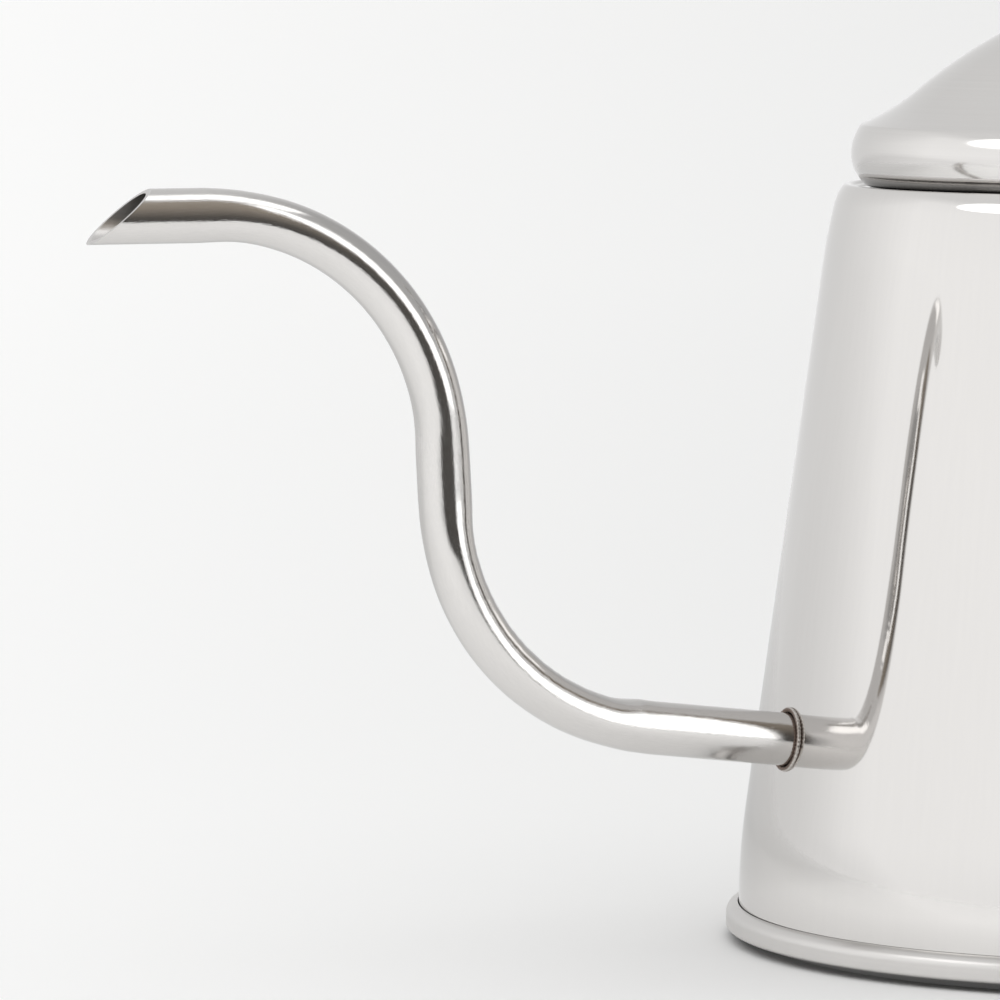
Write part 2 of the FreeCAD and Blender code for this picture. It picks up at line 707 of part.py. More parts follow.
cove = size["knob_cove_radius"]
neck_top = knob_base + size["knob_neck_height"]
neck_step = size["knob_foot_radius"] - size["knob_neck_radius"]
foot_top = neck_top - root(cove * cove - (cove - neck_step) * (cove - neck_step))
head_cove = (size["knob_neck_radius"] + cove, neck_top)
head_floor = neck_top + cove
head_edge = size["knob_edge_radius"]
head_edge_centre = (size["knob_head_radius"] - head_edge, head_floor + head_edge)
crown_radius = size["knob_crown_radius"]
crown_sine = head_edge_centre[0] / (crown_radius - head_edge)
crown_cosine = root(ONE - crown_sine * crown_sine)
crown_base = head_edge_centre[1] - (crown_radius - head_edge) * crown_cosine
crown_start = (crown_radius * crown_sine, crown_base + crown_radius * crown_cosine)
thread_radius = size["screw_diameter"] * HALF
thread_hole = thread_radius + size["screw_gap"]
thread_end = knob_base + size["screw_engagement"]
pieces["lid_knob"] = turned_piece("lid_knob", [
    ((thread_hole, knob_base),),
    ((size["knob_foot_radius"], knob_base),),
    ((size["knob_foot_radius"], foot_top),),
    ((size["knob_neck_radius"], neck_top), head_cove, cove),
    ((head_cove[0], head_floor), head_cove, cove),
    ((head_edge_centre[0], head_floor),),
    ((size["knob_head_radius"], head_edge_centre[1]), head_edge_centre, head_edge),
    (crown_start, head_edge_centre, head_edge),
    ((ZERO, crown_base + crown_radius), (ZERO, crown_base), crown_radius),
    ((ZERO, thread_end + size["screw_gap"]),),
    ((thread_hole, thread_end + size["screw_gap"]),),
])

washer_foot = inner_lid_top - size["washer_thickness"]
pieces["knob_washer"] = turned_piece("knob_washer", [
    ((shank_hole, washer_foot),),
    ((size["washer_radius"], washer_foot),),
    ((size["washer_radius"], inner_lid_top),),
    ((shank_hole, inner_lid_top),),
])

screw_foot = washer_foot - size["screw_head_height"]
screw_blank = turned_piece("screw_blank", [
    ((ZERO, screw_foot),),
    ((size["screw_head_radius"], screw_foot),),
    ((size["screw_head_radius"], washer_foot),),
    ((thread_radius, washer_foot),),
    ((thread_radius, thread_end),),
    ((ZERO, thread_end),),
])
screw_slot = doc.addObject("Part::Box", "screw_slot")
slot_width = size["screw_slot_width"]
slot_depth = size["screw_slot_depth"]
slot_length = size["screw_head_radius"] * TWICE + slot_width
screw_slot.setExpression("Length", slot_length.text)
screw_slot.setExpression("Width", slot_width.text)
screw_slot.setExpression("Height", (slot_depth * TWICE).text)
place(screw_slot, (-slot_length * HALF, -slot_width * HALF, screw_foot - slot_depth))
pieces["knob_screw"] = cut("knob_screw", screw_blank, screw_slot)

# Check every object, then write one file for each piece
doc.recompute()
for item in doc.Objects:
    if "Invalid" in item.State or "Error" in item.State:
        raise RuntimeError(f"{item.Name} failed: {item.State}")
for name, piece in pieces.items():
    if piece.Shape.isNull() or not piece.Shape.isValid():
        raise RuntimeError(f"{name} has no valid shape")
os.makedirs("parts", exist_ok=True)
for name, piece in pieces.items():
    piece.Shape.exportStep(f"parts/{name}.step")
    print(f"{name}: {len(piece.Shape.Solids)} solid, {piece.Shape.Volume:.1f} mm3")
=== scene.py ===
"""Looks of the gooseneck kettle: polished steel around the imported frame, on a white studio floor."""
import math

import bpy
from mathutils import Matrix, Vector


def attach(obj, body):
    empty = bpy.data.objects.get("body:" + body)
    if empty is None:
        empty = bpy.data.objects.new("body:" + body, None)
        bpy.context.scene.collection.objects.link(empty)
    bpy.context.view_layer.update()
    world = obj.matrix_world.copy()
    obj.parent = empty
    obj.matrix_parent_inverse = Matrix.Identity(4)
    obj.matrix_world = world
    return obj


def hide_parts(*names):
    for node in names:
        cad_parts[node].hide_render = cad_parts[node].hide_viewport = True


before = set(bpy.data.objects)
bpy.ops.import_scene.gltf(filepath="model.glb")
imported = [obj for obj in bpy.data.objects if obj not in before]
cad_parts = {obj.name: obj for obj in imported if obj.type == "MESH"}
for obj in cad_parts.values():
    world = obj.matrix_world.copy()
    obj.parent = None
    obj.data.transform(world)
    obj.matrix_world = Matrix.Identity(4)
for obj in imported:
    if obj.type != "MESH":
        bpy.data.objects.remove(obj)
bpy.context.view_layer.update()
scene = bpy.context.scene

# Camera, fitted to the photograph, in metres, degrees and millimetres of lens
CAMERA_PLACE = (-0.485802, -0.999690, 0.164182)
CAMERA_TURN = -20.70
CAMERA_DROP = 4.868
CAMERA_LENS = 252.0
SENSOR_WIDTH = 36.0
CAMERA_SIGHT = 100.0

# Sizes of the kettle in millimetres and degrees, as in the solids
MM = 0.001
SHEET = 0.8
BODY_HEIGHT = 120.1
FOOT_RADIUS = 63.0
FOOT_TOP = 5.0
FLARE_RADIUS = 116.0
WALL_SLOPE = 7.85
SEAT_DIP = 0.6
SEAT_STEP_RADIUS = 1.2
MOUTH_RADIUS = 38.0
MOUTH_TURN_RADIUS = 1.6
MOUTH_DEPTH = 7.0
PAN_FOOT_INSET = 3.0
RIM_PROUD = 2.0
RIM_LIFT = 1.5
RIM_EDGE_RADIUS = 0.7
RIM_SHOULDER_HEIGHT = 3.65
RIM_CROWN_RADIUS = 1.9
SEAM_GAP = 0.15
LID_OVERHANG = 7.57
LID_SEAT_GAP = 0.3
LID_BAND_RADIUS = 5.66
LID_BAND_ANGLE = 37.0
LID_FLANK_LENGTH = 1.35
LID_CURL_RADIUS = 1.0
LID_HEM_INSET = 1.2
LID_BROW_RADIUS = 8.24
LID_BROW_ANGLE = 33.1
LID_CORNER_RADIUS = 1.0
LID_COVE_ANGLE = 22.8
LID_COVE_RADIUS = 32.84
LID_DOME_ANGLE = 40.23
LID_DOME_RADIUS = 82.85
LID_PAD_RADIUS = 9.5
VENT_RADIUS = 1.5
VENT_OFFSET = 24.0
SHANK_HOLE_RADIUS = 2.1
ROOT_HEIGHT = 34.2
SPOUT_RISE = 7.0
LOWER_RUN = 25.2
LOWER_BEND = 36.3
SPOUT_LEAN = 86.9
MIDDLE_RUN = 11.4
UPPER_BEND = 36.8
TIP_RUN = 19.7
TIP_ANGLE = 40.0
TUBE_RADIUS = 4.15
TUBE_WALL = 0.7
TUBE_INSET = 2.4
HOLE_GAP = 0.1
BEAD_RADIUS = 0.38
BEAD_PROUD = 0.5
BEAD_STAND = 0.15

# Fineness of the meshes
TURNS = 320
ARC_STEP = 2.5
WALL_STEP = 1.2
FLANK_STEP = 0.3
TUBE_STEP = 0.5
TUBE_SIDES = 72
BEAD_TURNS = 320
BEAD_SIDES = 20
BORE_SIDES = 96
SHARP_ANGLE = 32.0
SAME_PLACE = 1e-6


def direction(azimuth, elevation):
    """Unit vector at an azimuth from +X and an elevation above the floor, in degrees."""
    a, e = math.radians(azimuth), math.radians(elevation)
    return Vector((math.cos(a) * math.cos(e), math.sin(a) * math.cos(e), math.sin(e)))


def around(centre, radius, angle):
    """Point at a distance from a centre, at an angle in degrees."""
    a = math.radians(angle)
    return centre[0] + radius * math.cos(a), centre[1] + radius * math.sin(a)


def arc(centre, radius, start, end):
    """Points on an arc from one angle to another, in degrees."""
    turn = abs(end - start)
    count = max(2, math.ceil(turn / ARC_STEP), math.ceil(abs(radius) * math.radians(turn) / WALL_STEP))
    return [around(centre, radius, start + (end - start) * i / count) for i in range(count + 1)]


def line(start, end, step):
    """Points on a straight line without its two ends."""
    count = max(1, math.ceil(math.dist(start, end) / step))
    return [tuple(a + (b - a) * i / count for a, b in zip(start, end)) for i in range(1, count)]


def sheet_outline(outer, gauge):
    """Closed outline of a sheet from its outer side, which runs with the metal on its left."""
    points = [p for i, p in enumerate(outer) if i == 0 or math.dist(p, outer[i - 1]) > SAME_PLACE]
    inner = []
    for i, point in enumerate(points):
        before, after = points[max(i - 1, 0)], points[min(i + 1, len(points) - 1)]
        along = Vector((after[0] - before[0], after[1] - before[1])).normalized()
        inner.append((point[0] - along.y * gauge, point[1] + along.x * gauge))
    return points + inner[::-1]


def finish_mesh(name, vertices, faces):
    """A smooth piece with sharp edges where its faces turn far."""
    mesh = bpy.data.meshes.new(name)
    mesh.from_pydata(vertices, [], faces)
    mesh.validate()
    mesh.shade_smooth()
    mesh.set_sharp_from_angle(angle=math.radians(SHARP_ANGLE))
    piece = bpy.data.objects.new(name, mesh)
    scene.collection.objects.link(piece)
    return piece


def lathe(name, outline):
    """A closed outline of (radius, height) in millimetres, turned about the upright axis."""
    vertices, rings, faces = [], [], []
    for radius, height in outline:
        turns = TURNS if radius > SAME_PLACE else 1
        ring = []
        for k in range(turns):
            angle = math.tau * k / TURNS
            ring.append(len(vertices))
            vertices.append((radius * math.cos(angle) * MM, radius * math.sin(angle) * MM, height * MM))
        rings.append(ring)
    for first, second in zip(rings, rings[1:] + rings[:1]):
        for k in range(TURNS):
            corners = [first[k % len(first)], first[(k + 1) % len(first)],
                       second[(k + 1) % len(second)], second[k % len(second)]]
            corners = list(dict.fromkeys(corners))
            if len(corners) > 2:
                faces.append(corners)
    return finish_mesh(name, vertices, faces)


def drill(piece, centre, axis, radius, length):
    """Bores a round hole through a piece."""
    bpy.ops.mesh.primitive_cylinder_add(vertices=BORE_SIDES, radius=radius * MM, depth=length * MM)
    tool = bpy.context.object
    tool.location = Vector(centre) * MM
    tool.rotation_mode = "QUATERNION"
    tool.rotation_quaternion = Vector(axis).to_track_quat("Z", "Y")
    cut = piece.modifiers.new("bore", "BOOLEAN")
    cut.operation = "DIFFERENCE"
    cut.solver = "EXACT"
    cut.object = tool
    bpy.context.view_layer.objects.active = piece
    bpy.ops.object.modifier_apply(modifier=cut.name)
    bpy.data.objects.remove(tool)
    piece.data.shade_smooth()
    piece.data.set_sharp_from_angle(angle=math.radians(SHARP_ANGLE))


def stand_for(piece, node, body, material):
    """Shows a piece in place of a solid, on the solid's body."""
    piece.data.materials.append(material)
    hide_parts(node)
    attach(piece, body)


# Wall of the body, from its foot up
PAN_SEAT = RIM_LIFT + SHEET
FLARE_CENTRE = (FOOT_RADIUS - FLARE_RADIUS, FOOT_TOP)
FLARE_END = around(FLARE_CENTRE, FLARE_RADIUS, WALL_SLOPE)
SEAT_HEIGHT = BODY_HEIGHT - SEAT_DIP


def wall_radius(height):
    """Radius of the cone at a height."""
    return FLARE_END[0] - (height - FLARE_END[1]) * math.tan(math.radians(WALL_SLOPE))


# Shoulder: a long curve, a rounder one and a tight edge, each as (radius, slope at its upper end)
SHOULDER_ARCS = ((91.6, 13.6), (8.0, 36.3), (0.9, 90.0))


def shoulder():
    """Points of the wall from the top of its cone to the crest."""
    slopes = [WALL_SLOPE] + [slope for _, slope in SHOULDER_ARCS]
    height = BODY_HEIGHT
    for (radius, upper), lower in zip(SHOULDER_ARCS, slopes):
        height -= radius * (math.sin(math.radians(upper)) - math.sin(math.radians(lower)))
    place = (wall_radius(height), height)
    points = []
    for (radius, upper), lower in zip(SHOULDER_ARCS, slopes):
        points += arc(around(place, -radius, lower), radius, lower, upper)
        place = points[-1]
    return points


def body_piece():
    """Spun body with its shoulder, lid seat and mouth, bored for the spout."""
    rounding = shoulder()
    step = math.degrees(math.acos(1 - SEAT_DIP / 2 / SEAT_STEP_RADIUS))
    crest = (rounding[-1][0], BODY_HEIGHT - SEAT_STEP_RADIUS)
    dip = (crest[0] - 2 * SEAT_STEP_RADIUS * math.sin(math.radians(step)), SEAT_HEIGHT + SEAT_STEP_RADIUS)
    mouth = (MOUTH_RADIUS + MOUTH_TURN_RADIUS, SEAT_HEIGHT - MOUTH_TURN_RADIUS)
    outer = [(FOOT_RADIUS, PAN_SEAT)]
    outer += arc(FLARE_CENTRE, FLARE_RADIUS, 0, WALL_SLOPE)
    outer += line(FLARE_END, rounding[0], WALL_STEP)
    outer += rounding
    outer += arc(crest, SEAT_STEP_RADIUS, 90, 90 + step)
    outer += arc(dip, SEAT_STEP_RADIUS, 270 + step, 270)
    outer += arc(mouth, MOUTH_TURN_RADIUS, 90, 180)
    outer += [(MOUTH_RADIUS, SEAT_HEIGHT - MOUTH_DEPTH)]
    piece = lathe("kettle_body", sheet_outline(outer, SHEET))
    rise = math.radians(SPOUT_RISE)
    root = (-wall_radius(ROOT_HEIGHT), 0.0, ROOT_HEIGHT)
    drill(piece, root, (-math.cos(rise), 0.0, math.sin(rise)), TUBE_RADIUS + HOLE_GAP, 4 * TUBE_RADIUS)
    return piece


def pan_piece():
    """Floor of the kettle with its rolled rim."""
    rim = FOOT_RADIUS + RIM_PROUD
    foot = FOOT_RADIUS - PAN_FOOT_INSET
    seam = FOOT_RADIUS + SEAM_GAP
    crown = (rim - RIM_CROWN_RADIUS, RIM_SHOULDER_HEIGHT)
    crown_end = math.degrees(math.acos((seam - crown[0]) / RIM_CROWN_RADIUS))
    outline = [(0.0, 0.0), (foot, 0.0)]
    outline += arc((rim - RIM_EDGE_RADIUS, RIM_LIFT + RIM_EDGE_RADIUS), RIM_EDGE_RADIUS, -90, 0)
    outline += arc(crown, RIM_CROWN_RADIUS, 0, crown_end)
    outline += [(seam, PAN_SEAT), (FOOT_RADIUS - 2 * SHEET, PAN_SEAT), (foot - SHEET, SHEET), (0.0, SHEET)]
    return lathe("kettle_base", outline)


# Flank of the lid above its hem, darkened by painted shade towards the seat
HEM_HEIGHT = SEAT_HEIGHT + LID_SEAT_GAP
CURL_FALL = LID_CURL_RADIUS * (1 - math.sin(math.radians(LID_BAND_ANGLE)))
FLANK_FALL = LID_FLANK_LENGTH * math.cos(math.radians(LID_BAND_ANGLE))
HEM_DEPTH = CURL_FALL + FLANK_FALL


def lid_piece():
    """Spun lid with its curled hem, band, cove and dome, bored for the vent."""
    radius = MOUTH_RADIUS + LID_OVERHANG
    turn = math.radians(LID_BAND_ANGLE)
    middle = HEM_HEIGHT + LID_BAND_RADIUS * math.sin(turn) + FLANK_FALL + CURL_FALL
    band = (radius - LID_BAND_RADIUS, middle)
    band_foot = around(band, LID_BAND_RADIUS, -LID_BAND_ANGLE)
    flank_foot = (band_foot[0] - LID_FLANK_LENGTH * math.sin(turn), band_foot[1] - FLANK_FALL)
    curl = (flank_foot[0] - LID_CURL_RADIUS * math.cos(turn), HEM_HEIGHT + LID_CURL_RADIUS)
    brow = (radius - LID_BROW_RADIUS, middle)
    corner = around(brow, LID_BROW_RADIUS - LID_CORNER_RADIUS, LID_BROW_ANGLE)
    cove_start = 90 - LID_COVE_ANGLE
    dome_start = 90 - LID_DOME_ANGLE
    cove = around(around(corner, LID_CORNER_RADIUS, cove_start), LID_COVE_RADIUS, cove_start)
    dome = around(around(cove, -LID_COVE_RADIUS, dome_start), -LID_DOME_RADIUS, dome_start)
    dome_end = math.degrees(math.acos((LID_PAD_RADIUS - dome[0]) / LID_DOME_RADIUS))
    outer = [(MOUTH_RADIUS + LID_HEM_INSET, HEM_HEIGHT)]
    outer += arc(curl, LID_CURL_RADIUS, -90, -LID_BAND_ANGLE)
    outer += line(flank_foot, band_foot, FLANK_STEP)
    outer += arc(band, LID_BAND_RADIUS, -LID_BAND_ANGLE, 0)
    outer += arc(brow, LID_BROW_RADIUS, 0, LID_BROW_ANGLE)
    outer += arc(corner, LID_CORNER_RADIUS, LID_BROW_ANGLE, cove_start)
    outer += arc(cove, -LID_COVE_RADIUS, cove_start, dome_start)
    outer += arc(dome, LID_DOME_RADIUS, dome_start, dome_end)
    top = around(dome, LID_DOME_RADIUS, dome_end)[1]
    outer += [(SHANK_HOLE_RADIUS, top)]
    piece = lathe("kettle_lid", sheet_outline(outer, SHEET))
    drill(piece, (VENT_OFFSET, 0.0, top), (0.0, 0.0, 1.0), VENT_RADIUS, 2 * (top - middle))
    return piece


# Spout path in the middle plane: runs by length, bends by radius and by their turn to the left in degrees
SPOUT_COURSE = [
    ("run", TUBE_INSET + LOWER_RUN),
    ("bend", LOWER_BEND, SPOUT_RISE - SPOUT_LEAN),
    ("run", MIDDLE_RUN),
    ("bend", UPPER_BEND, SPOUT_LEAN),
]


def spout_stations():
    """Places along the spout up to its level tip: (x, z, heading, length so far)."""
    heading = 180 - SPOUT_RISE
    rise = math.radians(SPOUT_RISE)
    x = -wall_radius(ROOT_HEIGHT) + TUBE_INSET * math.cos(rise)
    z = ROOT_HEIGHT - TUBE_INSET * math.sin(rise)
    length = 0.0
    stations = [(x, z, heading, length)]
    for kind, reach, *turn in SPOUT_COURSE:
        total = reach if kind == "run" else reach * math.radians(abs(turn[0]))
        count = math.ceil(total / TUBE_STEP)
        stride = total / count
        swing = turn[0] / count if turn else 0.0
        chord = 2 * reach * math.sin(math.radians(abs(swing)) / 2) if turn else stride
        for _ in range(count):
            middle = math.radians(heading + swing / 2)
            x += chord * math.cos(middle)
            z += chord * math.sin(middle)
            heading += swing
            length += stride
            stations.append((x, z, heading, length))
    return stations


# Where along the spout its bends begin and how long they are, in millimetres
LOWER_BEND_START = TUBE_INSET + LOWER_RUN
LOWER_BEND_LENGTH = LOWER_BEND * math.radians(SPOUT_LEAN - SPOUT_RISE)
UPPER_BEND_START = LOWER_BEND_START + LOWER_BEND_LENGTH + MIDDLE_RUN
UPPER_BEND_LENGTH = UPPER_BEND * math.radians(SPOUT_LEAN)

# What bending by hand left in the tube: heights as shares of its radius, places and lengths in millimetres
BEND_EASE = 7.0
LOWER_OVALITY = 0.085
UPPER_OVALITY = 0.07
BUMP_HEIGHT = 0.055
BUMP_PLACE = 1.0
BUMP_WIDTH = 2.2
PUCKER_HEIGHT = 0.006
PUCKER_PITCH = 3.1
PUCKER_SWAY = 2.0
PUCKER_SWAY_RATE = 0.7


def ease(value, low, high):
    """Smooth rise from zero to one."""
    t = min(1.0, max(0.0, (value - low) / (high - low)))
    return t * t * (3 - 2 * t)


def bend_share(length, start, extent):
    """One inside a bend, easing to zero at its ends."""
    end = start + extent
    begun = ease(length, start - BEND_EASE / 2, start + BEND_EASE)
    return begun * (1 - ease(length, end - BEND_EASE, end + BEND_EASE / 2))


def tube_swell(length, angle):
    """How much the hand-bent tube stands out from a true round one, as a share of its radius."""
    lower = bend_share(length, LOWER_BEND_START, LOWER_BEND_LENGTH)
    upper = bend_share(length, UPPER_BEND_START, UPPER_BEND_LENGTH)
    oval = (LOWER_OVALITY * lower + UPPER_OVALITY * upper) * math.cos(2 * angle)
    inner = max(0.0, math.cos(angle)) ** 2
    past = length - LOWER_BEND_START
    bump = BUMP_HEIGHT * math.exp(-((past - BUMP_PLACE) / BUMP_WIDTH) ** 2) * inner
    wave = math.tau * past / PUCKER_PITCH + PUCKER_SWAY * math.sin(past * PUCKER_SWAY_RATE)
    pucker = lower * PUCKER_HEIGHT * math.sin(wave) * inner
    return bump + pucker - oval


def tube_piece():
    """Hollow spout, marked with the place of its grain and with its inside."""
    stations = spout_stations()
    x_start, z_tip, _, bend_end = stations[-1]
    lip_x = x_start - TIP_RUN
    tip_rows = math.ceil(TIP_RUN / TUBE_STEP)
    vertices, faces, grain, inside = [], [], [], []

    def add_row(place, depth):
        """Adds one ring of points and gives their numbers."""
        row = []
        for k in range(TUBE_SIDES):
            point, mark = place(math.tau * k / TUBE_SIDES)
            row.append(len(vertices))
            vertices.append(Vector(point) * MM)
            grain.append(mark)
            inside.append(depth)
        return row

    def station_place(station, radius):
        """Points of the ring at a station."""
        x, z, heading, length = station
        up = (math.sin(math.radians(heading)), -math.cos(math.radians(heading)))

        def place(angle):
            reach = radius + TUBE_RADIUS * tube_swell(length, angle)
            height = reach * math.cos(angle)
            point = (x + height * up[0], reach * math.sin(angle), z + height * up[1])
            return point, (math.cos(angle), math.sin(angle), length)
        return place

    def tip_place(share, radius):
        """Points of a ring on the level tip, which leans more the nearer it is to the slanting cut."""
        def place(angle):
            reach = radius + TUBE_RADIUS * tube_swell(bend_end + share * TIP_RUN, angle)
            height = reach * math.cos(angle)
            end = lip_x + (height + TUBE_RADIUS) / math.tan(math.radians(TIP_ANGLE))
            x = x_start + (end - x_start) * share
            point = (x, reach * math.sin(angle), z_tip + height)
            return point, (math.cos(angle), math.sin(angle), bend_end + x_start - x)
        return place

    rows = []
    for radius, order, depth in ((TUBE_RADIUS, 1, 0.0), (TUBE_RADIUS - TUBE_WALL, -1, 1.0)):
        side = [add_row(station_place(s, radius), depth) for s in stations]
        side += [add_row(tip_place((i + 1) / tip_rows, radius), depth) for i in range(tip_rows)]
        rows += side[::order]
    for first, second in zip(rows, rows[1:] + rows[:1]):
        for k in range(TUBE_SIDES):
            n = (k + 1) % TUBE_SIDES
            faces.append((first[k], first[n], second[n], second[k]))
    piece = finish_mesh("kettle_spout", vertices, faces)
    marks = piece.data.attributes.new("grain", "FLOAT_VECTOR", "POINT")
    marks.data.foreach_set("vector", [value for mark in grain for value in mark])
    piece.data.attributes.new("inside", "FLOAT", "POINT").data.foreach_set("value", inside)
    return piece


# Weld ring: fine ripples that wander and a slow swell, in counts around it and shares of its thickness
RIPPLE_COUNT = 46
RIPPLE_HEIGHT = 0.11
WANDER_COUNT = 5
WANDER_REACH = 1.3
SWELL_COUNT = 7
SWELL_HEIGHT = 0.04
SWELL_START = 0.6
# Weld ring's crown in degrees around its section: its middle, and how far off the heat tint and painted
# shade of the crevice start and are full
CROWN_ANGLE = 78.0
CREVICE_START = 22.0
CREVICE_FULL = 52.0


def bead_piece():
    """Ring of weld around the tube, rippled as the torch left it."""
    rise = math.radians(SPOUT_RISE)
    along = Vector((-math.cos(rise), 0.0, math.sin(rise)))
    up = Vector((math.sin(rise), 0.0, math.cos(rise)))
    side = Vector((0.0, 1.0, 0.0))
    centre = Vector((-wall_radius(ROOT_HEIGHT), 0.0, ROOT_HEIGHT)) + along * BEAD_STAND
    vertices, faces, crevice = [], [], []
    for i in range(BEAD_TURNS):
        turn = math.tau * i / BEAD_TURNS
        outward = up * math.cos(turn) + side * math.sin(turn)
        wander = WANDER_REACH * math.sin(WANDER_COUNT * turn)
        ripple = 1 + RIPPLE_HEIGHT * math.sin(RIPPLE_COUNT * turn + wander)
        ripple += SWELL_HEIGHT * math.sin(SWELL_COUNT * turn + SWELL_START)
        reach = BEAD_RADIUS * ripple
        here, ahead = i * BEAD_SIDES, (i + 1) % BEAD_TURNS * BEAD_SIDES
        for k in range(BEAD_SIDES):
            angle = math.tau * k / BEAD_SIDES
            away = TUBE_RADIUS + BEAD_PROUD + reach * math.sin(angle)
            point = centre + outward * away + along * (reach * math.cos(angle))
            vertices.append(point * MM)
            # Mask for the weld's heat tint and painted crevice shade
            crevice.append(ease(abs(math.degrees(angle) - CROWN_ANGLE), CREVICE_START, CREVICE_FULL))
            n = (k + 1) % BEAD_SIDES
            faces.append((here + k, here + n, ahead + n, ahead + k))
    piece = finish_mesh("spout_weld", vertices, faces)
    marks = piece.data.attributes.new("crevice", "FLOAT", "POINT")
    marks.data.foreach_set("value", crevice)
    return piece


class Nodes:
    """Short way to add and join shader nodes in one tree."""

    def __init__(self, owner):
        """Empties the tree of a material or world."""
        owner.use_nodes = True
        self.tree = owner.node_tree
        self.tree.nodes.clear()

    def add(self, kind, **settings):
        """A new node with some of its settings."""
        node = self.tree.nodes.new(kind)
        for name, value in settings.items():
            setattr(node, name, value)
        return node

    def feed(self, socket, value):
        """Joins an output to a socket, or sets the socket to a constant."""
        if isinstance(value, bpy.types.NodeSocket):
            self.tree.links.new(value, socket)
        else:
            socket.default_value = value

    def math(self, operation, *values):
        """Result of an operation on numbers."""
        node = self.add("ShaderNodeMath", operation=operation)
        for socket, value in zip(node.inputs, values):
            self.feed(socket, value)
        return node.outputs[0]

    def vector(self, operation, *values):
        """Result of an operation on vectors."""
        node = self.add("ShaderNodeVectorMath", operation=operation)
        for socket, value in zip(node.inputs, values):
            self.feed(socket, value)
        return node.outputs["Value" if operation == "DOT_PRODUCT" else "Vector"]

    def noise(self, place, scale, detail=4.0):
        """Noise at a place."""
        node = self.add("ShaderNodeTexNoise")
        self.feed(node.inputs["Vector"], place)
        self.feed(node.inputs["Scale"], scale)
        self.feed(node.inputs["Detail"], detail)
        return node.outputs["Fac"]

    def ramp(self, source, stops):
        """Colour that changes with a number, from stops of (place, colour)."""
        node = self.add("ShaderNodeValToRGB")
        elements = node.color_ramp.elements
        while len(elements) < len(stops):
            # Any place does, because every stop is put in its own place below
            elements.new(0.5)
        for element, (place, colour) in zip(elements, stops):
            element.position = place
            element.color = colour
        self.feed(node.inputs["Fac"], source)
        return node.outputs["Color"]

    def mix(self, share, first, second):
        """Blend from a first colour to a second."""
        node = self.add("ShaderNodeMix", data_type="RGBA")
        self.feed(node.inputs["Factor"], share)
        self.feed(node.inputs["A"], first)
        self.feed(node.inputs["B"], second)
        return node.outputs["Result"]

    def between(self, source, low, high, to_low, to_high):
        """A number moved from one span to another and held at its ends."""
        node = self.add("ShaderNodeMapRange")
        for socket, value in zip(node.inputs, (source, low, high, to_low, to_high)):
            self.feed(socket, value)
        return node.outputs["Result"]


def grey(level):
    """Grey of a level."""
    return (level, level, level, 1.0)


def shade(colour, factor):
    """A colour made darker by a factor."""
    return tuple(c * factor for c in colour[:3]) + (1.0,)


# Steels: their colour, and the paler one at grazing angles
STEEL = (0.69, 0.675, 0.66, 1.0)
EDGE_TINT = (0.86, 0.86, 0.86, 1.0)
# Grain of the steels: spans of noise for tint and polish, shares of streaks and clouds, depth in metres
TINT_SPAN = (0.35, 0.65)
POLISH_SPAN = (0.3, 0.7)
STREAK_SHARE = 0.6
CLOUD_SHARE = 0.4
CLOUD_SCALE = 25.0
CLOUD_DETAIL = 3.0
GRAIN_DEPTH = 0.0001
# Stretch of each grain, as a factor on the place it is read at
UPRIGHT_RISE = (0.0, 0.0, 1.5)
RING_FINENESS = 40.0
TUBE_STRETCH = (1.0, 1.0, 0.02)
EVEN_STRETCH = (30.0, 30.0, 30.0)
STRAP_STRETCH = (60.0, 60.0, 3.0)
# Painted shade on the lid's flank from its hem up and on the foot under the rim, and dullness of the bore
PAINTED_HEM_SHADE = ((0.0, 0.02), (0.25, 0.07), (0.5, 0.20), (0.8, 0.42), (0.97, 0.60), (1.0, 1.0))
PAINTED_FOOT_SHADE = ((0.0, 0.36), (1.0, 1.0))
FOOT_FADE = (0.8 * RIM_LIFT * MM, 1.3 * RIM_LIFT * MM)
BORE_DULLNESS = 0.25
# Weld: dark and light of its grain, its crevice's heat tint and painted shade, its scale and its spread of
# roughness
WELD_DARK = (0.40, 0.37, 0.34, 1.0)
WELD_LIGHT = (0.72, 0.69, 0.66, 1.0)
WELD_CREVICE_TINT_AND_SHADE = (0.16, 0.12, 0.10, 1.0)
WELD_SCALE = 2500.0
WELD_ROUGHNESS = (0.28, 0.45)


